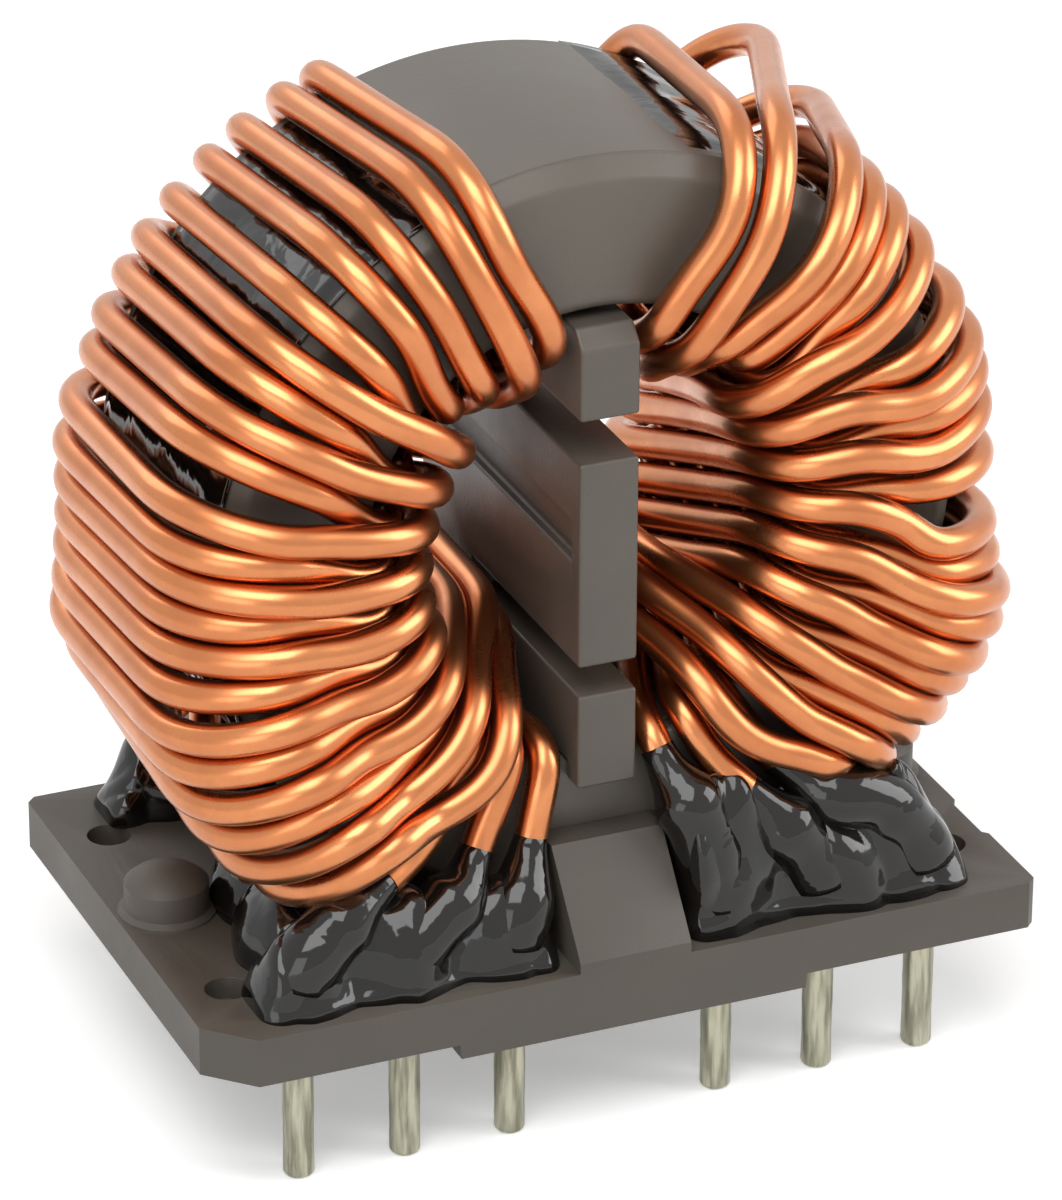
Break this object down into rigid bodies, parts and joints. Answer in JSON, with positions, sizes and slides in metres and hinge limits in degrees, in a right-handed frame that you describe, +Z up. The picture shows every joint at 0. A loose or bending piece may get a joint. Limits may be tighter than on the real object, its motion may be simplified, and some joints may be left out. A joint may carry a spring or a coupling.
{
  "type": "common mode choke",
  "caption": "Toroidal common mode choke: ring core in a plastic case, two three-strand copper windings kept apart by a slotted divider, upright on a pinned base plate.",
  "frame": {"origin": "middle of the pin field, on the plane where the base plate's ridges rest on the circuit board", "axes": "+X along the long side of the base plate, +Y from front to back along the axis of the ring core, +Z up away from the board"},
  "size_m": [0.0392, 0.0248, 0.0452],
  "materials": {
    "plate": "moulded dark grey thermoset, fine matt skin",
    "case": "moulded dark grey polyester, satin",
    "divider": "moulded dark grey polyester, satin",
    "core": "wound metal tape edge, dull",
    "cushion": "soft foam, matt",
    "wire": "enamelled copper, glossy orange-brown",
    "pin": "solder-dipped copper, dull silver",
    "resin": "glossy black potting resin"
  },
  "bodies": {
    "root": {"base_plate": "plate", "divider": "divider", "core_case_tray": "case", "core_case_lid": "case", "core_ring": "core", "core_cushion": "cushion", "left_strand_1": "wire", "left_strand_2": "wire", "left_strand_3": "wire", "right_strand_1": "wire", "right_strand_2": "wire", "right_strand_3": "wire", "front_left_pin_1": "pin", "front_left_pin_2": "pin", "front_left_pin_3": "pin", "front_right_pin_1": "pin", "front_right_pin_2": "pin", "front_right_pin_3": "pin", "back_left_pin_1": "pin", "back_left_pin_2": "pin", "back_left_pin_3": "pin", "back_right_pin_1": "pin", "back_right_pin_2": "pin", "back_right_pin_3": "pin", "front_left_resin": "resin", "front_right_resin": "resin", "back_left_resin": "resin", "back_right_resin": "resin"}
  },
  "joints": []
}
